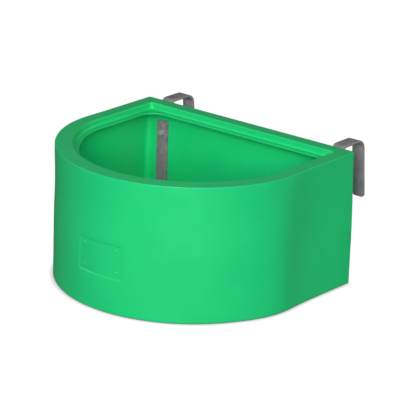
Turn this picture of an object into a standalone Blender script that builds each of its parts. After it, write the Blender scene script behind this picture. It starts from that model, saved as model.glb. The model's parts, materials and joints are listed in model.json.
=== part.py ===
"""Over-rail feed bucket: a D-shaped moulded tub with two bolted steel hooks.

Metres, +Z up.  +X runs along the flat back wall, -Y is the rounded front, +Y is the rail side.
The origin is the bottom centre of the whole part's bounding box, so the tub stands on z = 0.
"""
from math import acos, atan2, cos, hypot, pi, sin, sqrt

import bmesh
import bpy

# --- driving dimensions ---------------------------------------------------------------------
WIDTH = 0.520            # across the rim; the round front has half of this as its radius
SIDE = 0.190             # straight length of each side wall
HEIGHT = 0.271           # base to the flat top of the rim
WALL = 0.005             # moulded wall thickness, the same everywhere
RIM = 0.0285             # width of the flat rim along the back and the sides
RIM_MORE = 0.0075        # how much wider it is round the front
BAND_Z = 0.2597          # foot of the band that turns down from the rim
LEDGE_Z = 0.2565         # top of the ledge under the band
LIP = 0.040              # how far the trimmed lip stands in from the outer wall
LIP_LOW = 0.253          # underside of the lip
SPREAD, DISH, WAIST, BULGE = 0.0046, 0.0050, 0.0014, 0.0042   # how far walls leave the D
CORNER, BAND_CORNER, LIP_CORNER, IN_CORNER = 0.004, 0.005, 0.033, 0.010   # back corners
PANEL_W = 0.106          # blank label panel sunk into the front, measured round the wall
PANEL_Z0, PANEL_Z1 = 0.071, 0.138
PANEL_DEPTH = 0.0008

BAR_W, BAR_T = 0.0272, 0.005   # flat bar the hooks and the backing straps are cut from
GAP = 0.0003             # clearance between pieces that touch
HOOK_X = 0.2167          # hook centre line, each side of the middle
HOOK_TOP = 0.2735        # top of the hook
HOOK_FOOT = 0.056        # lower end of the front leg and of the strap inside
HOOK_R1, HOOK_R2 = 0.0150, 0.022  # outer radii of the front and the rear bend
HOOK_Y2 = 0.0550         # centre of the rear bend, behind the back wall
TIP_Y, TIP_Z = 0.087, 0.1492      # lower outer corner of the rear leg
STRAP_TOP = 0.2295       # top of the strap inside
HOOK_END_R, STRAP_END_R = 0.0065, 0.005   # rounded corners at the bar ends
BOLT_Z = (0.206, 0.076)  # bolt heights
BOLT_R = 0.004           # M8 shank
BORE_R = 0.0044          # holes in washers and nuts
HOLE_R = 0.0045          # holes in the bars and the wall
WASHER_R, WASHER_T = 0.008, 0.0016
HEX_AF = 0.013           # across the flats, head and nut
HEAD_T, NUT_T = 0.0053, 0.0065
BOLT_LEN = 0.030         # under the head

HALF = WIDTH / 2
DEPTH = SIDE + HALF                     # outside depth of the tub
BACK_Y = (DEPTH - TIP_Y) / 2            # outer face of the back wall in the part frame
FRONT_STEPS = 44                        # segments round the front
SIDE_AT = (0.8, 0.62, 0.46, 0.3, 0.15)  # points along a side wall, as parts of its length
LEVELS = (0.030, 0.065, 0.100, 0.130, 0.160, 0.190, 0.215, 0.245)   # heights up the walls
RING = 24                               # segments round fasteners and holes


# --- small helpers --------------------------------------------------------------------------
def clear_scene():
    for ob in list(bpy.data.objects):
        bpy.data.objects.remove(ob, do_unlink=True)


def material(name, colour, metallic, roughness):
    mat = bpy.data.materials.new(name)
    mat.use_nodes = True
    bsdf = mat.node_tree.nodes["Principled BSDF"]
    bsdf.inputs["Base Color"].default_value = (*colour, 1.0)
    bsdf.inputs["Metallic"].default_value = metallic
    bsdf.inputs["Roughness"].default_value = roughness
    return mat


def mesh_object(name, verts, faces, mat):
    """Closed mesh object with outward normals; flat areas stay flat, curved ones shade smooth."""
    mesh = bpy.data.meshes.new(name)
    mesh.from_pydata(verts, [], faces)
    bm = bmesh.new()
    bm.from_mesh(mesh)
    bmesh.ops.recalc_face_normals(bm, faces=bm.faces)
    for edge in bm.edges:
        edge.smooth = len(edge.link_faces) == 2 and edge.calc_face_angle() < 0.6
    for face in bm.faces:
        face.smooth = True
    bm.to_mesh(mesh)
    bm.free()
    ob = bpy.data.objects.new(name, mesh)
    bpy.context.scene.collection.objects.link(ob)
    mesh.materials.append(mat)
    return ob


def loft(name, rings, mat, closed=False):
    """Skin between rings of equal length; open lofts get a cap at each end, closed ones join up."""
    n = len(rings[0])
    verts = [p for ring in rings for p in ring]
    count = len(rings)
    faces = []
    for k in range(count if closed else count - 1):
        a, b = k * n, ((k + 1) % count) * n
        for i in range(n):
            j = (i + 1) % n
            faces.append((a + i, a + j, b + j, b + i))
    if not closed:
        faces.append(tuple(range(n)))
        faces.append(tuple(range((count - 1) * n, count * n)))
    return mesh_object(name, verts, faces, mat)


def arc(cx, cy, r, a0, a1, steps):
    """Points of an arc, angles in radians, both ends included."""
    return [(cx + r * cos(a0 + (a1 - a0) * k / steps), cy + r * sin(a0 + (a1 - a0) * k / steps))
            for k in range(steps + 1)]


# --- the tub --------------------------------------------------------------------------------
def hump(x):
    """Rises from 0 at -1 to 1 at 0 and falls to 0 at 1."""
    return cos(pi / 2 * x) ** 2 if abs(x) < 1 else 0.0


def push(u, z):
    """How far the wall stands out from the plain D, at a distance u behind the end of the round
    front: it is fuller where the front meets the sides, the sides spread towards the lower back
    corners and are dished in between, and the front is pinched a little below the stiff rim."""
    ramp = max(u + 0.160, 0.0) / (SIDE + 0.160)
    fall = min(max((0.262 - z) / 0.180, 0.0), 1.0)
    spread = SPREAD * sin(pi / 2 * fall) ** 1.25 * ramp ** 1.5
    s = max(u + 0.040, 0.0) / (SIDE + 0.040)
    dish = DISH * 16 * (s * (1 - s)) ** 2 * max(1 - (2 * z / 0.263 - 1) ** 2, 0.0)
    pinch = WAIST * hump((z - 0.196) / 0.075) * (1 - ramp)
    bulge = BULGE * (1 - 2.3 * z) * hump((u + 0.050) / 0.110)
    return bulge + spread - dish - pinch


def rim_more(u, inset, z):
    """Extra width of the rim, with its band and lip, growing from the sides to the front."""
    if inset < 0.010 or z < 0.250:
        return 0.0
    x = min(max((0.050 - u) / 0.250, 0.0), 1.0)
    return RIM_MORE * x * x * (3 - 2 * x)


def outline(inset, corner, z):
    """D outline moved in from the outer wall, with its two back corners rounded."""
    half, back = HALF - inset, BACK_Y - inset
    side_end = BACK_Y - SIDE
    wide, length = half + push(SIDE, z), back - corner - side_end
    side = [(half + push(SIDE * t, z) - rim_more(SIDE * t, inset, z), side_end + length * t)
            for t in SIDE_AT]
    pts = arc(-wide + corner, back - corner, corner, pi, pi / 2, 5)
    pts += arc(wide - corner, back - corner, corner, pi / 2, 0, 5)
    pts += side
    for k in range(FRONT_STEPS + 1):
        a = pi * k / FRONT_STEPS
        u = -HALF * min(a, pi - a)
        r = half + push(u, z) - rim_more(u, inset, z)
        pts.append((r * cos(a), side_end - r * sin(a)))
    pts += [(-x, y) for x, y in reversed(side)]
    return [(x, y, z) for x, y in pts]


def tub_rings():
    """Cross-section of the moulding: up the outside, over the rim, under the lip, down inside."""
    top, under = HEIGHT, HEIGHT - WALL
    back_of_band = RIM - WALL
    section = [(0.0025, 0.0, CORNER), (0.0007, 0.0007, CORNER), (0.0, 0.0025, CORNER)]  # base
    section += [(0.0, z, CORNER) for z in LEVELS]                                   # outer wall
    section += [
        (0.0, top - 0.0015, CORNER), (0.0015, top, CORNER),                         # outer rim
        (RIM - 0.0022, top, BAND_CORNER), (RIM - 0.0006, top - 0.0006, BAND_CORNER),  # inner rim
        (RIM, top - 0.0022, BAND_CORNER), (RIM, BAND_Z, BAND_CORNER),               # band
        (RIM + 0.001, LEDGE_Z + 0.001, 0.010), (RIM + 0.0032, LEDGE_Z, 0.016),      # fillet
        (LIP - 0.0008, LEDGE_Z, LIP_CORNER), (LIP, LEDGE_Z - 0.0008, LIP_CORNER),   # ledge
        (LIP, LIP_LOW + 0.0006, LIP_CORNER), (LIP - 0.0006, LIP_LOW, LIP_CORNER),   # lip
        (back_of_band, LIP_LOW, 0.010), (back_of_band, under, 0.010),               # under rim
        (WALL, under, IN_CORNER)]
    section += [(WALL, z, IN_CORNER) for z in reversed(LEVELS)]                     # inner wall
    section += [(WALL, 0.015, IN_CORNER), (WALL + 0.003, 0.008, 0.012),
                (WALL + 0.010, WALL, 0.016)]                                        # floor edge
    return [outline(inset, corner, z) for inset, z, corner in section]


def cutter(rings, targets, label):
    """Hidden closed solid that is subtracted from each target."""
    tool = loft("cut_" + label, rings, MAT_CUT)
    tool.hide_render = True
    tool.display_type = "WIRE"
    for target in targets:
        mod = target.modifiers.new(label, "BOOLEAN")
        mod.object = tool
        mod.operation = "DIFFERENCE"
        mod.solver = "EXACT"


def sink_panel(target):
    """Shallow rectangle in the round front; its floor follows the facets of the wall."""
    step, reach = pi / FRONT_STEPS, PANEL_W / 2 / HALF
    whole = int(reach / step)
    angles = [-reach] + [k * step for k in range(-whole, whole + 1)] + [reach]
    floor = HALF - PANEL_DEPTH
    ring = [(floor * sin(a), BACK_Y - SIDE - floor * cos(a)) for a in angles]
    ring += [((HALF + 0.003) * sin(a), BACK_Y - SIDE - (HALF + 0.003) * cos(a))
             for a in reversed(angles)]
    cutter([[(x, y, z) for x, y in ring] for z in (PANEL_Z0, PANEL_Z1)], [target], "panel")


# --- flat bar pieces ------------------------------------------------------------------------
def bar(name, x, path, end_r, mat):
    """Flat bar swept along path = [(y, z, ny, nz, s)]: n points across the thickness and s is
    the distance to the nearer end, which rounds that end's corners."""
    rings = []
    for y, z, ny, nz, s in path:
        half = BAR_W / 2
        if s < end_r:
            half += sqrt(max(end_r ** 2 - (end_r - s) ** 2, 0.0)) - end_r
        h = BAR_T / 2
        rings.append([(x - half, y - ny * h, z - nz * h), (x + half, y - ny * h, z - nz * h),
                      (x + half, y + ny * h, z + nz * h), (x - half, y + ny * h, z + nz * h)])
    return loft(name, rings, mat)


def end_steps(end_r):
    """Distances from a rounded end at which the bar's width is set."""
    return [end_r * (1 - cos(pi / 2 * k / 4)) for k in range(5)]


def straight_path(y, z0, z1, end_r):
    """Upright centre line from z0 to z1 with both ends rounded."""
    low = [(y, z0 + s, 1.0, 0.0, s) for s in end_steps(end_r)]
    high = [(y, z1 - s, 1.0, 0.0, s) for s in reversed(end_steps(end_r))]
    return low + high


def hook_path(end_r):
    """Up the back wall, over the rail, down the far side with a slight outward lean."""
    y0 = BACK_Y + GAP
    far, h = 1.0, BAR_T / 2
    path = [(y0 + h, HOOK_FOOT + s, -1.0, 0.0, s) for s in end_steps(end_r)]
    for k in range(13):
        a = pi - pi / 2 * k / 12
        path.append((y0 + HOOK_R1 + (HOOK_R1 - h) * cos(a),
                     HOOK_TOP - HOOK_R1 + (HOOK_R1 - h) * sin(a), cos(a), sin(a), far))
    cy, cz = BACK_Y + HOOK_Y2, HOOK_TOP - HOOK_R2
    dy, dz = BACK_Y + TIP_Y - cy, TIP_Z - cz
    lean = atan2(dz, dy) + acos(HOOK_R2 / hypot(dy, dz))
    for k in range(13):
        a = pi / 2 + (lean - pi / 2) * k / 12
        path.append((cy + (HOOK_R2 - h) * cos(a), cz + (HOOK_R2 - h) * sin(a),
                     cos(a), sin(a), far))
    ny, nz = cos(lean), sin(lean)
    tip = (BACK_Y + TIP_Y - ny * h, TIP_Z - nz * h)
    for s in reversed(end_steps(end_r)):
        path.append((tip[0] - nz * s, tip[1] + ny * s, ny, nz, s))
    return path


# --- fasteners, all with their axis along Y -------------------------------------------------
def circle(x, z, y, r):
    return [(x + r * cos(2 * pi * k / RING), y, z + r * sin(2 * pi * k / RING))
            for k in range(RING)]


def hexagon(x, z, y, limit):
    """Hexagon ring, cut back to the radius limit so that it can also make the chamfer."""
    pts = []
    for k in range(RING):
        a = 2 * pi * k / RING
        off = (a + pi / 6) % (pi / 3) - pi / 6
        r = min(HEX_AF / 2 / cos(off), limit)
        pts.append((x + r * cos(a), y, z + r * sin(a)))
    return pts


def bolt(name, x, z, y, mat):
    """Hex bolt pointing along +Y; y is the face under the head."""
    tip = y + BOLT_LEN
    rings = [hexagon(x, z, y - HEAD_T, 0.0061), hexagon(x, z, y - HEAD_T + 0.0009, 1.0),
             hexagon(x, z, y - 0.0003, 1.0), hexagon(x, z, y, 0.0061),
             circle(x, z, y, BOLT_R), circle(x, z, tip - 0.0008, BOLT_R),
             circle(x, z, tip, BOLT_R - 0.0008)]
    return loft(name, rings, mat)


def washer(name, x, z, y, mat):
    rings = [circle(x, z, y, BORE_R), circle(x, z, y, WASHER_R),
             circle(x, z, y + WASHER_T, WASHER_R), circle(x, z, y + WASHER_T, BORE_R)]
    return loft(name, rings, mat, closed=True)


def nut(name, x, z, y, mat):
    rings = [circle(x, z, y, BORE_R), hexagon(x, z, y, 0.0061),
             hexagon(x, z, y + 0.0008, 1.0), hexagon(x, z, y + NUT_T - 0.0008, 1.0),
             hexagon(x, z, y + NUT_T, 0.0061), circle(x, z, y + NUT_T, BORE_R)]
    return loft(name, rings, mat, closed=True)


def drill(targets, x):
    """Bolt holes through the wall and both bars at one hook."""
    for z in BOLT_Z:
        rings = [circle(x, z, BACK_Y - 0.03, HOLE_R), circle(x, z, BACK_Y + 0.02, HOLE_R)]
        cutter(rings, targets, "bolt_hole")


# --- assembly -------------------------------------------------------------------------------
clear_scene()
MAT_CUT = material("cutter", (0.5, 0.5, 0.5), 0.0, 0.5)
MAT_TUB = material("green_polyethylene", (0.018, 0.62, 0.185), 0.0, 0.42)
MAT_BAR = material("galvanised_steel", (0.24, 0.24, 0.24), 0.85, 0.5)
MAT_FIX = material("zinc_plated_steel", (0.36, 0.36, 0.37), 0.9, 0.38)

tub = loft("bucket_shell", tub_rings(), MAT_TUB)
sink_panel(tub)
strap_y = BACK_Y - WALL - GAP - BAR_T / 2
head_washer_y = BACK_Y - WALL - GAP - BAR_T - GAP - WASHER_T
head_y = head_washer_y - GAP
nut_washer_y = BACK_Y + GAP + BAR_T + GAP
nut_y = nut_washer_y + WASHER_T + GAP

for side, x in (("left", -HOOK_X), ("right", HOOK_X)):
    hook = bar("hook_" + side, x, hook_path(HOOK_END_R), HOOK_END_R, MAT_BAR)
    strap = bar("inner_strap_" + side, x, straight_path(strap_y, HOOK_FOOT, STRAP_TOP,
                                                       STRAP_END_R), STRAP_END_R, MAT_BAR)
    drill((tub, hook, strap), x)
    for level, z in zip(("upper", "lower"), BOLT_Z):
        tag = side + "_" + level
        bolt("bolt_" + tag, x, z, head_y, MAT_FIX)
        washer("inner_washer_" + tag, x, z, head_washer_y, MAT_FIX)
        washer("outer_washer_" + tag, x, z, nut_washer_y, MAT_FIX)
        nut("nut_" + tag, x, z, nut_y, MAT_FIX)
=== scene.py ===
"""Over-rail feed bucket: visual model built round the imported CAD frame."""

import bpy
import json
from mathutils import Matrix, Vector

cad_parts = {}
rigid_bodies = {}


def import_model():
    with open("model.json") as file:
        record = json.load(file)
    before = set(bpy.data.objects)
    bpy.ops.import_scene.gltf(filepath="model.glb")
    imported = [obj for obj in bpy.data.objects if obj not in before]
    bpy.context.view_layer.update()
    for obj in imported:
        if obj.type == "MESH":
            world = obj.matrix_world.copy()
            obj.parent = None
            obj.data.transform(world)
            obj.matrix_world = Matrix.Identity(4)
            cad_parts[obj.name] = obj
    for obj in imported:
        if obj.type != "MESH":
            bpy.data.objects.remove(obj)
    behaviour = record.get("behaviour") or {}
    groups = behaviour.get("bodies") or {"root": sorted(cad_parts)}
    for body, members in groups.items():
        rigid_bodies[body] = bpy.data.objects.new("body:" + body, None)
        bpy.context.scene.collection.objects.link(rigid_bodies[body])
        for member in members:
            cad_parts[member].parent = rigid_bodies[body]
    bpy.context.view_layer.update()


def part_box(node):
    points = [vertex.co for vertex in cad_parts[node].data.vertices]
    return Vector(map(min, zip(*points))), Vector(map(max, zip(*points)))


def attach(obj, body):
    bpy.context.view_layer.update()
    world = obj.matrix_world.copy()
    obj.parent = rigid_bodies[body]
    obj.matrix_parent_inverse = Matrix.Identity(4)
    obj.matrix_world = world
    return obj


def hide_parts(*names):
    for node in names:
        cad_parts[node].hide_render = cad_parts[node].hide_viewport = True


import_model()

import json
from math import acos, atan2, cos, hypot, pi, radians, sin, sqrt

import bmesh
import bpy
from mathutils import Matrix, Vector

# --- dimensions, in metres, in the frame's own coordinates ----------------------------------
SHELL_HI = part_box("bucket_shell")[1]
HALF = 0.260                          # half the width at the rim, and the front's radius
BACK_Y = SHELL_HI.y                   # outer face of the back wall
HEIGHT = SHELL_HI.z
SIDE = 0.190                          # straight length of the side walls
SIDE_END = BACK_Y - SIDE
WALL = 0.005
RIM, RIM_MORE = 0.0285, 0.0075        # rim width at the sides, and its extra round the front
LEDGE_Z, LIP_LOW, LIP = 0.2565, 0.253, 0.040   # ledge and lip heights, and the lip's inset

# Corner radii in plan, from the outside in.
CORNER, BAND_CORNER, BAND_FOOT_CORNER, LEDGE_CORNER, LIP_CORNER = 0.004, 0.005, 0.0065, 0.016, 0.033
LIP_UNDER_CORNER, RIM_UNDER_CORNER, IN_CORNER, FLOOR_CORNER = 0.012, 0.010, 0.010, 0.018

# Edge radii of the moulding's section.
BASE_R, TOP_R, RIM_IN_R, FILLET_R, LIP_R, COVE_R = 0.0025, 0.0012, 0.0024, 0.0034, 0.0010, 0.010

# How far the walls leave the plain D, and where. Lengths along the wall are measured from the
# end of the round front: behind it is positive, and round the front negative.
SPREAD, DISH, WAIST, BULGE = 0.0046, 0.0050, 0.0014, 0.0042
SPREAD_FROM, SPREAD_TOP, SPREAD_RUN = 0.160, 0.262, 0.180
DISH_FROM, DISH_TOP = 0.040, 0.263
WAIST_Z, WAIST_REACH = 0.196, 0.075
BULGE_U, BULGE_REACH, BULGE_FADE = -0.050, 0.110, 2.3

# The extra rim width is for points at least this far in and this high. It starts at MORE_END
# along the wall and is whole after MORE_RUN.
MORE_INSET, MORE_Z, MORE_END, MORE_RUN = 0.010, 0.250, 0.050, 0.250

PANEL_HALF, PANEL_Z0, PANEL_Z1, PANEL_DEPTH, PANEL_R = 0.053, 0.071, 0.138, 0.0008, 0.003
PANEL_STEP = 0.0009                   # width of the slope round the sunk panel
BUTTON_S, BUTTON_Z = 0.040, (0.084, 0.127)     # places of the panel's four buttons
BUTTON_RINGS = ((0.0028, -0.0006), (0.0028, 0.0002), (0.0025, 0.0006), (0.0018, 0.0009),
                (0.0008, 0.0010))     # radius, and height above the panel

BAR_W, BAR_T = 0.0272, 0.005          # flat bar
GAP = 0.0003                          # between pieces that are clamped together
HOOK_LO, HOOK_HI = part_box("hook_right")
HOOK_X = (HOOK_LO.x + HOOK_HI.x) / 2
HOOK_TOP, HOOK_FOOT = HOOK_HI.z, HOOK_LO.z
HOOK_R1, HOOK_R2, HOOK_Y2 = 0.015, 0.022, 0.055   # outer radii of the bends, and the far centre
TIP_Y, TIP_Z = HOOK_HI.y - BACK_Y, 0.1492
STRAP_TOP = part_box("inner_strap_right")[1].z
HOOK_END_R, STRAP_END_R, EDGE_R = 0.0065, 0.005, 0.0008

BOLT_Z = {"upper": 0.206, "lower": 0.076}
BOLT_R, BORE_R, HOLE_R, BOLT_LEN = 0.004, 0.0044, 0.0045, 0.030
PITCH, THREAD_DEPTH, TIP_CUT = 0.00125, 0.0006, 0.0008     # thread, and the chamfer at its tip
WASHER_R, WASHER_T, WASHER_EDGE = 0.008, 0.0016, 0.0002
HEX_AF, HEAD_T, NUT_T = 0.013, 0.0053, 0.0065
HEAD_FACE_R = (0.0046, 0.0056)        # rings on the bolt head's flat face
SEAT_H, SEAT_R = 0.0004, (0.0061, 0.0059)      # washer face under the head
HEX_CUT, HEX_CUT_H, NO_CUT = 0.0072, 0.0006, 1.0   # corners cut back at the head's underside
SHANK, THREAD_START = 0.008, 0.0085   # plain length under the head, and where the thread starts
NUT_SINK_R, NUT_SINK = 0.0049, 0.0005          # countersink of the nut's bore


# --- mesh helpers ---------------------------------------------------------------------------
def add_object(name, data):
    ob = bpy.data.objects.new(name, data)
    bpy.context.scene.collection.objects.link(ob)
    return ob


def add_mesh(name, bm):
    """Turn a closed bmesh into an object, with its normals outwards."""
    bmesh.ops.recalc_face_normals(bm, faces=bm.faces)
    mesh = bpy.data.meshes.new(name)
    bm.to_mesh(mesh)
    bm.free()
    return add_object(name, mesh)


def link(name, bm, mat, replaces=()):
    """Turn a bmesh into a smooth-shaded piece that rides on the one body."""
    ob = add_mesh(name, bm)
    ob.data.materials.append(mat)
    ob.data.polygons.foreach_set("use_smooth", [True] * len(ob.data.polygons))
    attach(ob, "root")
    if replaces:
        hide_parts(*replaces)
    return ob


def loft(bm, rings, closed=False):
    """Skin between rings of equal length. Open lofts are capped."""
    grid = [[bm.verts.new(p) for p in ring] for ring in rings]
    n = len(rings[0])
    pairs = list(zip(grid, grid[1:]))
    if closed:
        pairs.append((grid[-1], grid[0]))
    for a, b in pairs:
        for i in range(n):
            j = (i + 1) % n
            bm.faces.new((a[i], a[j], b[j], b[i]))
    if not closed:
        bm.faces.new(grid[0])
        bm.faces.new(grid[-1])


def arc(cx, cy, r, a0, a1, steps):
    """Points of an arc, both ends included."""
    return [(cx + r * cos(a0 + (a1 - a0) * k / steps), cy + r * sin(a0 + (a1 - a0) * k / steps))
            for k in range(steps + 1)]


def spaced(a, b, n, pad=0.0006):
    """Inner points of n steps from a to b, with one more close to each end to hold the shading."""
    sign = 1 if b > a else -1
    near = [a + sign * pad] if abs(b - a) > 6 * pad else []
    far = [b - sign * pad] if near else []
    return near + [a + (b - a) * k / n for k in range(1, n)] + far


def smoothstep(x):
    x = min(max(x, 0.0), 1.0)
    return x * x * (3 - 2 * x)


# --- node-material helpers ------------------------------------------------------------------
class Nodes:
    """Short way to build a node tree."""

    def __init__(self, name):
        self.mat = bpy.data.materials.new(name)
        self.mat.use_nodes = True
        self.tree = self.mat.node_tree
        self.bsdf = self.tree.nodes["Principled BSDF"]
        self.coords = self.add("ShaderNodeTexCoord").outputs["Object"]

    def add(self, kind, links=None, **values):
        node = self.tree.nodes.new(kind)
        for key, value in values.items():
            setattr(node, key, value)
        for key, value in (links or {}).items():
            socket = node.inputs[key]
            if isinstance(value, bpy.types.NodeSocket):
                self.tree.links.new(value, socket)
            else:
                socket.default_value = value
        return node

    def stretched(self, scale):
        return self.add("ShaderNodeMapping", {"Vector": self.coords, "Scale": scale}
                        ).outputs["Vector"]

    def noise(self, scale, detail, rough, vector=None, distortion=0.0):
        return self.add("ShaderNodeTexNoise", {
            "Vector": vector or self.coords, "Scale": scale, "Detail": detail,
            "Roughness": rough, "Distortion": distortion}).outputs["Fac"]

    def span(self, value, a, b, lo, hi):
        node = self.add("ShaderNodeMapRange", {
            "Value": value, "From Min": a, "From Max": b, "To Min": lo, "To Max": hi})
        return node.outputs["Result"]

    def mix(self, factor, a, b):
        node = self.add("ShaderNodeMix", data_type="RGBA")
        for index, value in ((0, factor), (6, a), (7, b)):
            if isinstance(value, bpy.types.NodeSocket):
                self.tree.links.new(value, node.inputs[index])
            else:
                node.inputs[index].default_value = value
        return node.outputs[2]

    def math(self, operation, a, b):
        return self.add("ShaderNodeMath", {0: a, 1: b}, operation=operation).outputs[0]

    def bump(self, height, strength, distance, normal=None):
        links = {"Height": height, "Strength": strength, "Distance": distance}
        if normal:
            links["Normal"] = normal
        return self.add("ShaderNodeBump", links).outputs["Normal"]

    def plug(self, socket, value):
        if isinstance(value, bpy.types.NodeSocket):
            self.tree.links.new(value, self.bsdf.inputs[socket])
        else:
            self.bsdf.inputs[socket].default_value = value


def polyethylene():
    """Moulded green polyethylene: faint cloudy tone, satin skin with a fine pebble, scuffs."""
    n = Nodes("green_polyethylene")
    base = (0.0095, 0.655, 0.202, 1.0)
    deep = (0.0070, 0.615, 0.186, 1.0)
    pale = (0.0160, 0.675, 0.220, 1.0)
    worn = (0.045, 0.68, 0.25, 1.0)
    cloud = n.noise(9.0, 4.0, 0.55)
    tone = n.mix(n.span(cloud, 0.35, 0.68, 0.0, 1.0), deep, base)
    speck = n.span(n.noise(420.0, 2.0, 0.6), 0.62, 0.80, 0.0, 0.30)
    tone = n.mix(speck, tone, pale)
    streak = n.noise(34.0, 5.0, 0.68, n.stretched((1.0, 1.0, 9.0)), 0.5)
    patch = n.span(n.noise(13.0, 2.0, 0.5), 0.46, 0.62, 0.0, 1.0)
    scuff = n.math("MULTIPLY", n.span(streak, 0.55, 0.70, 0.0, 1.0), patch)
    tone = n.mix(n.math("MULTIPLY", scuff, 0.10), tone, worn)
    n.plug("Base Color", tone)
    rough = n.span(n.noise(22.0, 4.0, 0.6), 0.3, 0.7, 0.35, 0.45)
    n.plug("Roughness", n.math("ADD", rough, n.math("MULTIPLY", scuff, 0.16)))
    wave = n.bump(n.noise(14.0, 2.0, 0.5), 0.35, 0.0006)
    pebble = n.bump(n.noise(900.0, 2.0, 0.5), 0.18, 0.00012, wave)
    n.plug("Normal", pebble)
    n.plug("Specular IOR Level", 0.6)
    return n.mat


def galvanised(name, dark, light, metallic, rough_lo, rough_hi, spangle=110.0):
    """Zinc-coated steel: mottled grey with blotches, dull spangle and worn bright flecks."""
    n = Nodes(name)
    dull = tuple(0.6 * c for c in light[:3]) + (1.0,)
    bright = tuple(min(1.0, 1.7 * c) for c in light[:3]) + (1.0,)
    blotch = n.noise(70.0, 5.0, 0.66, None, 0.4)
    tone = n.mix(n.span(blotch, 0.36, 0.64, 0.0, 1.0), dark, light)
    cells = n.add("ShaderNodeTexVoronoi", {"Vector": n.coords, "Scale": spangle})
    grey = n.add("ShaderNodeSeparateColor", {"Color": cells.outputs["Color"]}).outputs[0]
    tone = n.mix(n.span(grey, 0.0, 1.0, 0.0, 0.30), tone, dull)
    fleck = n.span(n.noise(330.0, 3.0, 0.7), 0.60, 0.72, 0.0, 0.55)
    tone = n.mix(fleck, tone, bright)
    n.plug("Base Color", tone)
    n.plug("Metallic", metallic)
    n.plug("Roughness", n.span(blotch, 0.3, 0.7, rough_hi, rough_lo))
    lumps = n.bump(n.noise(160.0, 4.0, 0.6), 0.45, 0.0004)
    n.plug("Normal", n.bump(n.noise(900.0, 2.0, 0.6), 0.3, 0.0001, lumps))
    return n.mat


GREEN = polyethylene()
BAR = galvanised("galvanised_bar", (0.270, 0.252, 0.264, 1.0), (0.436, 0.408, 0.426, 1.0),
                 0.30, 0.42, 0.60)
# The strap is the same galvanised steel as the hooks, painted darker and less green to cancel the
# green light bounced onto it inside the tub.
STRAP = galvanised("galvanised_strap_tinted_against_green_bounce", (0.247, 0.186, 0.232, 1.0), (0.398, 0.300, 0.374, 1.0),
                   0.30, 0.42, 0.60)
ZINC = galvanised("zinc_fastener", (0.30, 0.285, 0.295, 1.0), (0.52, 0.50, 0.515, 1.0),
                  0.45, 0.30, 0.46, 260.0)


# --- the tub --------------------------------------------------------------------------------
CORNER_STEPS, SIDE_STEPS, FRONT_STEPS, BACK_STEPS = 12, 24, 168, 24
EDGE_SET = (-0.0040, -0.0033, -0.0027, -0.0021, -0.0015, -0.0010, -0.0006, -0.0002, 0.0004)
PAD = 0.0005                          # from a section's edge to the next ring
CUT = 0.002                           # off the hidden corners under the rim
WALL_CLEAR = 0.0018                   # depth below the top in which the rings stay as they are
ARC_CLEAR, RING_CLEAR = 0.0012, 0.0015         # least distance from the panel's close-set edges


def with_edges(values, edges, clear):
    """Add close-set values just inside each (place, direction) edge, dropping those too near."""
    extra = [place + way * off for place, way in edges for off in EDGE_SET]
    kept = [v for v in values if all(abs(v - e) > clear for e in extra)]
    return sorted(kept + extra)


def front_arcs():
    """Distances round the front from its middle, closer together at the panel's ends."""
    reach = HALF * pi / 2
    even = [-reach + 2 * reach * k / FRONT_STEPS for k in range(1, FRONT_STEPS)]
    inner = with_edges(even, ((PANEL_HALF, 1), (-PANEL_HALF, -1)), ARC_CLEAR)
    return [reach] + list(reversed(inner)) + [-reach]


FRONT_ARCS = front_arcs()


def hump(x):
    """Rises from 0 at -1 to 1 at 0 and falls to 0 at 1."""
    return cos(pi / 2 * x) ** 2 if abs(x) < 1 else 0.0


def push(u, z):
    """How far the wall stands out from the plain D, at a distance u behind the end of the round
    front: it is fuller where the front meets the sides, the sides spread towards the lower back
    corners and are dished in between, and the front is pinched a little below the stiff rim."""
    u = min(u, SIDE)
    ramp = max(u + SPREAD_FROM, 0.0) / (SIDE + SPREAD_FROM)
    fall = min(max((SPREAD_TOP - z) / SPREAD_RUN, 0.0), 1.0)
    spread = SPREAD * sin(pi / 2 * fall) ** 1.25 * ramp ** 1.5
    s = max(u + DISH_FROM, 0.0) / (SIDE + DISH_FROM)
    dish = DISH * 16 * (s * (1 - s)) ** 2 * max(1 - (2 * z / DISH_TOP - 1) ** 2, 0.0)
    pinch = WAIST * hump((z - WAIST_Z) / WAIST_REACH) * (1 - ramp)
    bulge = BULGE * (1 - BULGE_FADE * z) * hump((u - BULGE_U) / BULGE_REACH)
    return bulge + spread - dish - pinch


def rim_more(u, inset, z):
    """Extra width of the rim, with its band and lip, growing from the sides to the front."""
    if inset < MORE_INSET or z < MORE_Z:
        return 0.0
    return RIM_MORE * smoothstep((MORE_END - u) / MORE_RUN)


def outline(inset, corner, z, sink=None):
    """(x, y) round the D at a given inset, always the same number of points. sink gives how far
    the front stands back at a distance round it."""
    half, back = HALF - inset, BACK_Y - inset
    wide = half + push(SIDE, z)
    x0, x1, y0 = -wide + corner, wide - corner, back - corner
    pts = arc(x0, y0, corner, pi, pi / 2, CORNER_STEPS)
    pts += [(x, back) for x in spaced(x0, x1, BACK_STEPS)]
    pts += arc(x1, y0, corner, pi / 2, 0, CORNER_STEPS)
    side = []
    for y in spaced(y0, SIDE_END, SIDE_STEPS):
        u = SIDE * (y - SIDE_END) / (y0 - SIDE_END)
        side.append((half + push(u, z) - rim_more(u, inset, z), y))
    pts += side
    for s in FRONT_ARCS:
        u = abs(s) - HALF * pi / 2
        r = half + push(u, z) - rim_more(u, inset, z) - (sink(s) if sink else 0.0)
        pts.append((r * sin(s / HALF), SIDE_END - r * cos(s / HALF)))
    pts += [(-x, y) for x, y in reversed(side)]
    return pts


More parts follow.
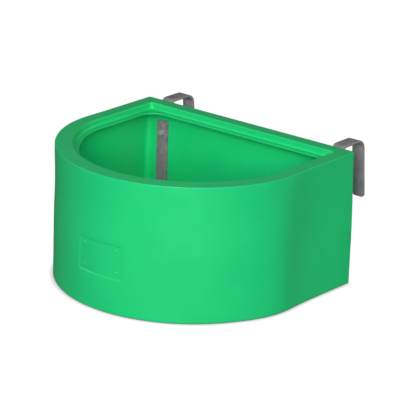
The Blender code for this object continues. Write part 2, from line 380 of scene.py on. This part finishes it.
def rounded_section():
    """(inset, z, corner radius) round the moulding's cross-section. The edges that show are
    rounded, and the hidden corners under the rim are cut off."""
    sec = []

    def bend(cx, cz, r, a0, a1, steps, c0, c1):
        for k in range(steps + 1):
            a = radians(a0 + (a1 - a0) * k / steps)
            sec.append((cx + r * cos(a), cz + r * sin(a), c0 + (c1 - c0) * k / steps))

    def run(i0, z0, i1, z1, steps, c0, c1):
        length = hypot(i1 - i0, z1 - z0)
        for d in spaced(0.0, length, steps, PAD):
            f = d / length
            sec.append((i0 + (i1 - i0) * f, z0 + (z1 - z0) * f, c0 + (c1 - c0) * f))

    top, band_in, rim_low = HEIGHT, RIM - WALL, HEIGHT - WALL
    bend(BASE_R, BASE_R, BASE_R, 270, 180, 8, CORNER, CORNER)            # base edge
    run(0.0, BASE_R, 0.0, top - TOP_R, 16, CORNER, CORNER)               # outer wall
    bend(TOP_R, top - TOP_R, TOP_R, 180, 90, 6, CORNER, CORNER)          # outer rim edge
    run(TOP_R, top, RIM - RIM_IN_R, top, 5, CORNER, BAND_CORNER)         # flat rim
    bend(RIM - RIM_IN_R, top - RIM_IN_R, RIM_IN_R, 90, 0, 6, BAND_CORNER, BAND_CORNER)
    run(RIM, top - RIM_IN_R, RIM, LEDGE_Z + FILLET_R, 4, BAND_CORNER, BAND_FOOT_CORNER)  # band
    bend(RIM + FILLET_R, LEDGE_Z + FILLET_R, FILLET_R, 180, 270, 7, BAND_FOOT_CORNER, LEDGE_CORNER)
    run(RIM + FILLET_R, LEDGE_Z, LIP - LIP_R, LEDGE_Z, 4, LEDGE_CORNER, LIP_CORNER)      # ledge
    bend(LIP - LIP_R, LEDGE_Z - LIP_R, LIP_R, 90, 0, 5, LIP_CORNER, LIP_CORNER)
    bend(LIP - LIP_R, LIP_LOW + LIP_R, LIP_R, 0, -90, 5, LIP_CORNER, LIP_CORNER)
    run(LIP - LIP_R, LIP_LOW, band_in, LIP_LOW, 4, LIP_CORNER, LIP_UNDER_CORNER)     # under the lip
    sec.append((band_in, LIP_LOW + CUT / 2, RIM_UNDER_CORNER))
    sec.append((band_in, rim_low - CUT, RIM_UNDER_CORNER))               # back of the band
    sec.append((band_in - CUT, rim_low, RIM_UNDER_CORNER))               # underside of the rim
    sec.append((WALL + CUT, rim_low, RIM_UNDER_CORNER))
    sec.append((WALL, rim_low - CUT, IN_CORNER))
    run(WALL, rim_low - CUT, WALL, WALL + COVE_R, 18, IN_CORNER, IN_CORNER)          # inner wall
    bend(WALL + COVE_R, WALL + COVE_R, COVE_R, 180, 270, 8, IN_CORNER, FLOOR_CORNER)
    return sec


def panel_sink(s, z):
    """How deep the front is sunk at a point, from the middle of the front and the height."""
    dx = abs(s) - (PANEL_HALF - PANEL_R)
    dz = abs(z - (PANEL_Z0 + PANEL_Z1) / 2) - ((PANEL_Z1 - PANEL_Z0) / 2 - PANEL_R)
    dist = hypot(max(dx, 0.0), max(dz, 0.0)) + min(max(dx, dz), 0.0) - PANEL_R
    return PANEL_DEPTH * smoothstep(-dist / PANEL_STEP)


def panel_button(bm, s, z):
    """Low round button in a corner of the sunk panel."""
    a, r0, rings, count = s / HALF, HALF - PANEL_DEPTH, [], 20
    for radius, out in BUTTON_RINGS:
        ring = []
        for k in range(count):
            b = a + radius * cos(2 * pi * k / count) / HALF
            r = r0 + out
            ring.append((r * sin(b), SIDE_END - r * cos(b), z + radius * sin(2 * pi * k / count)))
        rings.append(ring)
    loft(bm, rings)


def drill(ob, holes):
    """Cut round holes along Y, given as (x, z, y0, y1), and keep the result as the mesh."""
    tools = []
    for x, z, y0, y1 in holes:
        bm = bmesh.new()
        loft(bm, [circle(x, z, y, HOLE_R) for y in (y0, y1)])
        tool = add_mesh("drill", bm)
        mod = ob.modifiers.new("hole", "BOOLEAN")
        mod.object, mod.operation, mod.solver = tool, "DIFFERENCE", "EXACT"
        tools.append(tool)
    graph = bpy.context.evaluated_depsgraph_get()
    cut = bpy.data.meshes.new_from_object(ob.evaluated_get(graph))
    ob.modifiers.clear()
    ob.data = cut
    for tool in tools:
        bpy.data.objects.remove(tool, do_unlink=True)


def build_shell():
    """The moulding with its bolt holes, and the buttons on its label panel."""
    section = rounded_section()
    on_wall = [k for k, (inset, z, _) in enumerate(section)
               if inset == 0.0 and BASE_R < z < HEIGHT - WALL_CLEAR]
    wall = with_edges([section[k][1] for k in on_wall], ((PANEL_Z1, 1), (PANEL_Z0, -1)), RING_CLEAR)
    section[on_wall[0]:on_wall[-1] + 1] = [(0.0, z, CORNER) for z in wall]
    rings = []
    for inset, z, corner in section:
        sink = (lambda s, z=z: panel_sink(s, z)) if inset == 0.0 else None
        rings.append([(x, y, z) for x, y in outline(inset, corner, z, sink)])
    bm = bmesh.new()
    loft(bm, rings)
    ob = link("bucket_shell_visual", bm, GREEN, ["bucket_shell"])
    drill(ob, [(x, z, BACK_Y - 0.02, BACK_Y + 0.01) for x in (-HOOK_X, HOOK_X)
               for z in BOLT_Z.values()])
    bm = bmesh.new()
    for s in (-BUTTON_S, BUTTON_S):
        for z in BUTTON_Z:
            panel_button(bm, s, z)
    link("panel_buttons_visual", bm, GREEN)


# --- flat bar pieces ------------------------------------------------------------------------
BEND_STEPS = 24
FAR = 1.0                             # stands for a distance clear of both ends of a bar


def bar_ring(x, y, z, ny, nz, s, end_r):
    """Rounded-rectangle section of a flat bar; s is the distance to the nearer end."""
    half, thick, r = BAR_W / 2, BAR_T / 2, EDGE_R
    if s < end_r:
        half -= end_r - sqrt(max(end_r ** 2 - (end_r - s) ** 2, 0.0))
    if s < EDGE_R:
        cut = EDGE_R - sqrt(max(EDGE_R ** 2 - (EDGE_R - s) ** 2, 0.0))
        half, thick, r = half - cut, thick - cut, EDGE_R - cut * 0.9   # r stays above nought
    ring = []
    for sx, sn, a0 in ((1, 1, 0), (-1, 1, 90), (-1, -1, 180), (1, -1, 270)):
        for k in range(4):
            a = radians(a0 + 30 * k)
            u = sx * (half - r) + r * cos(a)
            v = sn * (thick - r) + r * sin(a)
            ring.append((x + u, y + ny * v, z + nz * v))
    return ring


def end_steps(end_r):
    """Distances from a rounded end at which the section is set."""
    steps = [EDGE_R * (1 - cos(pi / 2 * k / 4)) for k in range(5)]
    steps += [end_r * (1 - cos(pi / 2 * k / 10)) for k in range(1, 11)]
    return sorted(steps)


def strap_path(y, z0, z1):
    """Straight bar up from z0 to z1, as (y, z, normal y, normal z, distance to the nearer end)."""
    low = [(y, z0 + s, 1.0, 0.0, s) for s in end_steps(STRAP_END_R)]
    high = [(y, z1 - s, 1.0, 0.0, s) for s in reversed(end_steps(STRAP_END_R))]
    mid = [(y, z, 1.0, 0.0, FAR) for z in spaced(z0 + STRAP_END_R, z1 - STRAP_END_R, 12)]
    return low + mid + high


def hook_path():
    """Up the back wall, over the rail, down the far side with a slight outward lean."""
    y0, h = BACK_Y + GAP, BAR_T / 2
    path = [(y0 + h, HOOK_FOOT + s, -1.0, 0.0, s) for s in end_steps(HOOK_END_R)]
    path += [(y0 + h, z, -1.0, 0.0, FAR)
             for z in spaced(HOOK_FOOT + HOOK_END_R, HOOK_TOP - HOOK_R1, 10)]
    for k in range(BEND_STEPS + 1):
        a = pi - pi / 2 * k / BEND_STEPS
        path.append((y0 + HOOK_R1 + (HOOK_R1 - h) * cos(a),
                     HOOK_TOP - HOOK_R1 + (HOOK_R1 - h) * sin(a), cos(a), sin(a), FAR))
    cy, cz = BACK_Y + HOOK_Y2, HOOK_TOP - HOOK_R2
    path += [(y, HOOK_TOP - h, 0.0, 1.0, FAR) for y in spaced(y0 + HOOK_R1, cy, 3)]
    dy, dz = BACK_Y + TIP_Y - cy, TIP_Z - cz
    lean = atan2(dz, dy) + acos(HOOK_R2 / hypot(dy, dz))
    for k in range(BEND_STEPS + 1):
        a = pi / 2 + (lean - pi / 2) * k / BEND_STEPS
        path.append((cy + (HOOK_R2 - h) * cos(a), cz + (HOOK_R2 - h) * sin(a), cos(a), sin(a), FAR))
    ny, nz = cos(lean), sin(lean)
    tip = (BACK_Y + TIP_Y - ny * h, TIP_Z - nz * h)
    length = hypot(path[-1][0] - tip[0], path[-1][1] - tip[1])
    for s in spaced(HOOK_END_R, length, 8)[::-1] + end_steps(HOOK_END_R)[::-1]:
        path.append((tip[0] - nz * s, tip[1] + ny * s, ny, nz, s))
    return path


def build_bar(node, x, path, end_r, hole_y, finish):
    """Sweep the bar along its path and drill its two bolt holes."""
    bm = bmesh.new()
    loft(bm, [bar_ring(x, y, z, ny, nz, s, end_r) for y, z, ny, nz, s in path])
    ob = link(node + "_visual", bm, finish, [node])
    drill(ob, [(x, z, hole_y - 0.006, hole_y + 0.006) for z in BOLT_Z.values()])


# --- fasteners, all with their axis along Y -------------------------------------------------
RING = 48


def circle(x, z, y, r):
    """Ring of RING points round an axis along Y."""
    return [(x + r * cos(2 * pi * k / RING), y, z + r * sin(2 * pi * k / RING))
            for k in range(RING)]


def hexagon(x, z, y, limit):
    """Hexagon ring, cut back to the radius limit, which makes the corner chamfer."""
    pts = []
    for k in range(RING):
        a = 2 * pi * k / RING
        off = (a + pi / 6) % (pi / 3) - pi / 6
        r = min(HEX_AF / 2 / cos(off), limit)
        pts.append((x + r * cos(a), y, z + r * sin(a)))
    return pts


def chamfer(x, z, y, way, steps=4):
    """Hexagon rings from the chamfered face at y into the hexagon; way is +1 or -1 along Y."""
    across, corner = HEX_AF / 2, HEX_AF / 2 / cos(pi / 6)
    inside, slope, rings = 0.0003, 0.577, []       # start inside the flats, at 30 degrees
    for k in range(steps + 1):
        r = across - inside + (corner - across + inside) * k / steps
        rings.append(hexagon(x, z, y + way * (r - across + inside) * slope, r))
    return rings


def threaded(x, z, y0, y1):
    """Rings of a shank with a shallow thread form."""
    rings, y = [], y0
    while y + PITCH < y1 - 0.001:
        rings += [circle(x, z, y, BOLT_R), circle(x, z, y + PITCH / 2, BOLT_R - THREAD_DEPTH)]
        y += PITCH
    return rings + [circle(x, z, y1 - TIP_CUT, BOLT_R), circle(x, z, y1, BOLT_R - TIP_CUT)]


def build_bolt(tag, x, z, head):
    """Hex bolt whose head ends at head, with a thin washer face under it."""
    face, seat = head - HEAD_T, head - SEAT_H
    rings = [circle(x, z, face, r) for r in HEAD_FACE_R]
    rings += chamfer(x, z, face, 1)
    rings += [hexagon(x, z, head - HEX_CUT_H, NO_CUT), hexagon(x, z, seat, HEX_CUT),
              circle(x, z, seat, SEAT_R[0]), circle(x, z, head, SEAT_R[1]),
              circle(x, z, head, BOLT_R), circle(x, z, head + SHANK, BOLT_R)]
    rings += threaded(x, z, head + THREAD_START, head + BOLT_LEN)
    bm = bmesh.new()
    loft(bm, rings)
    link("bolt_" + tag + "_visual", bm, ZINC, ["bolt_" + tag])


def build_washer(node, x, z, y):
    """Washer with softened outer edges, from y to y + WASHER_T."""
    e, far = WASHER_EDGE, y + WASHER_T
    bm = bmesh.new()
    loft(bm, [circle(x, z, y, BORE_R), circle(x, z, y, WASHER_R - e),
              circle(x, z, y + e, WASHER_R), circle(x, z, far - e, WASHER_R),
              circle(x, z, far, WASHER_R - e), circle(x, z, far, BORE_R)], closed=True)
    link(node + "_visual", bm, ZINC, [node])


def build_nut(tag, x, z, near):
    """Hex nut with both faces chamfered and its bore countersunk."""
    far = near + NUT_T
    rings = [circle(x, z, near + NUT_SINK, BORE_R), circle(x, z, near, NUT_SINK_R)]
    rings += chamfer(x, z, near, 1) + chamfer(x, z, far, -1)[::-1]
    rings += [circle(x, z, far, NUT_SINK_R), circle(x, z, far - NUT_SINK, BORE_R)]
    bm = bmesh.new()
    loft(bm, rings, closed=True)
    link("nut_" + tag + "_visual", bm, ZINC, ["nut_" + tag])


def fasten(side, level, x, z):
    """Bolt head and washer inside the tub, washer and nut behind the hook."""
    tag = side + "_" + level
    washer_in = BACK_Y - WALL - GAP - BAR_T - GAP - WASHER_T
    washer_out = BACK_Y + GAP + BAR_T + GAP
    build_bolt(tag, x, z, washer_in - GAP)
    build_washer("inner_washer_" + tag, x, z, washer_in)
    build_washer("outer_washer_" + tag, x, z, washer_out)
    build_nut(tag, x, z, washer_out + WASHER_T + GAP)


def crisp_edges(names, limit):
    """Keep edges of more than limit degrees crisp, on the visual pieces whose names start so."""
    for ob in bpy.context.scene.objects:
        if ob.name.startswith(names) and ob.name.endswith("_visual"):
            ob.data.set_sharp_from_angle(angle=radians(limit))


build_shell()
for side, x in (("left", -HOOK_X), ("right", HOOK_X)):
    strap_y = BACK_Y - WALL - GAP - BAR_T / 2
    build_bar("hook_" + side, x, hook_path(), HOOK_END_R, BACK_Y + GAP + BAR_T / 2, BAR)
    build_bar("inner_strap_" + side, x, strap_path(strap_y, HOOK_FOOT, STRAP_TOP), STRAP_END_R,
              strap_y, STRAP)
    for level, z in BOLT_Z.items():
        fasten(side, level, x, z)
crisp_edges(("bolt_", "nut_", "inner_washer_", "outer_washer_"), 35)
crisp_edges(("hook_", "inner_strap_", "bucket_shell_"), 50)


# --- floor, light and camera ----------------------------------------------------------------
FLOOR_SIZE, FLOOR_Z = 6.0, -0.0003
FLOOR_SEEN, WORLD_LIGHT, WORLD_GLOSS = 0.97, 0.072, 0.16   # brightness of the pale surroundings
CONTACT = 0.014                       # reach of the soft shade where the tub meets the floor
AIM = Vector((0.0, -0.04, 0.13))      # what the lights point at
LIGHTS = (                            # name, azimuth, elevation, distance, size, power
    ("key", 27, 21, 7.0, (4.8, 2.2), 110),
    ("side", 36, 22, 7.0, (3.0, 2.2), 285),
    ("fill", 78, 20, 6.0, (3.0, 3.0), 34),
    ("left", -55, 18, 7.0, (3.0, 2.2), 70),
    ("high", 25, 46, 1.6, (0.8, 0.8), 5.0),
    ("back", 150, 8, 7.0, (3.0, 1.6), 50))
CAMERA_AT = (2.7083, BACK_Y - 3.5654, 1.6754)
CAMERA_TURN, CAMERA_DOWN, CAMERA_ROLL = 38.193, 19.528, 2.041      # degrees
CAMERA_LENS, CAMERA_SENSOR = 202.8, 36.0       # millimetres


def seen_value(tree, seen, unseen):
    """Value for what is looked at directly, and for what only lights the object."""
    level = tree.nodes.new("ShaderNodeMapRange")
    level.inputs["To Min"].default_value = unseen
    level.inputs["To Max"].default_value = seen
    ray = tree.nodes.new("ShaderNodeLightPath").outputs["Is Camera Ray"]
    tree.links.new(ray, level.inputs["Value"])
    return level.outputs["Result"]


def stage_floor():
    """Pale floor that glows for the camera, with a painted contact shadow: its glow is darkened by
    ambient occlusion where something stands close over it.
    """
    bm = bmesh.new()
    size = FLOOR_SIZE
    corners = ((-size, -size, 0), (size, -size, 0), (size, size, 0), (-size, size, 0))
    bm.faces.new([bm.verts.new(p) for p in corners])
    mesh = bpy.data.meshes.new("floor")
    bm.to_mesh(mesh)
    bm.free()
    ob = add_object("floor", mesh)
    ob.location.z = FLOOR_Z
    n = Nodes("floor_white")
    n.plug("Base Color", (0.20, 0.195, 0.20, 1.0))
    n.plug("Roughness", 0.9)
    n.plug("Specular IOR Level", 0.0)
    # Painted contact shadow: ambient occlusion darkens the floor's glow near the tub.
    near = n.add("ShaderNodeAmbientOcclusion", {"Distance": CONTACT})
    n.plug("Emission Color", near.outputs["Color"])
    n.plug("Emission Strength", seen_value(n.tree, FLOOR_SEEN, 0.0))
    mesh.materials.append(n.mat)


def soft_light(name, azimuth, elevation, distance, size, energy):
    """Area light; azimuth 0 is straight in front of the tub, 90 is on its +X side."""
    a, e = radians(azimuth), radians(elevation)
    back = Vector((sin(a) * cos(e), -cos(a) * cos(e), sin(e)))
    data = bpy.data.lights.new(name, "AREA")
    data.shape, data.size, data.size_y = "RECTANGLE", size[0], size[1]
    data.energy = energy
    ob = add_object(name, data)
    ob.location = AIM + back * distance
    ob.rotation_euler = (-back).to_track_quat("-Z", "Y").to_euler()


def world_light():
    """White surroundings to look at, and a dimmer light from them on the object."""
    world = bpy.data.worlds.new("studio")
    bpy.context.scene.world = world
    world.use_nodes = True
    tree = world.node_tree
    bg = tree.nodes["Background"]
    bg.inputs["Color"].default_value = (1.0, 1.0, 1.0, 1.0)
    gloss = tree.nodes.new("ShaderNodeMapRange")
    gloss.inputs["To Max"].default_value = WORLD_GLOSS - WORLD_LIGHT
    ray = tree.nodes.new("ShaderNodeLightPath").outputs["Is Glossy Ray"]
    tree.links.new(ray, gloss.inputs["Value"])
    both = tree.nodes.new("ShaderNodeMath")
    tree.links.new(seen_value(tree, 1.0, WORLD_LIGHT), both.inputs[0])
    tree.links.new(gloss.outputs["Result"], both.inputs[1])
    tree.links.new(both.outputs["Value"], bg.inputs["Strength"])


def camera():
    data = bpy.data.cameras.new("camera")
    data.lens, data.sensor_width = CAMERA_LENS, CAMERA_SENSOR
    data.clip_start, data.clip_end = 0.1, 50.0
    ob = add_object("camera", data)
    turn = (Matrix.Rotation(radians(CAMERA_TURN), 4, "Z")
            @ Matrix.Rotation(radians(90 - CAMERA_DOWN), 4, "X")
            @ Matrix.Rotation(radians(CAMERA_ROLL), 4, "Z"))
    ob.matrix_world = Matrix.Translation(CAMERA_AT) @ turn
    bpy.context.scene.camera = ob


stage_floor()
for light in LIGHTS:
    soft_light(*light)
world_light()
camera()
bpy.context.scene.view_settings.view_transform = "Standard"
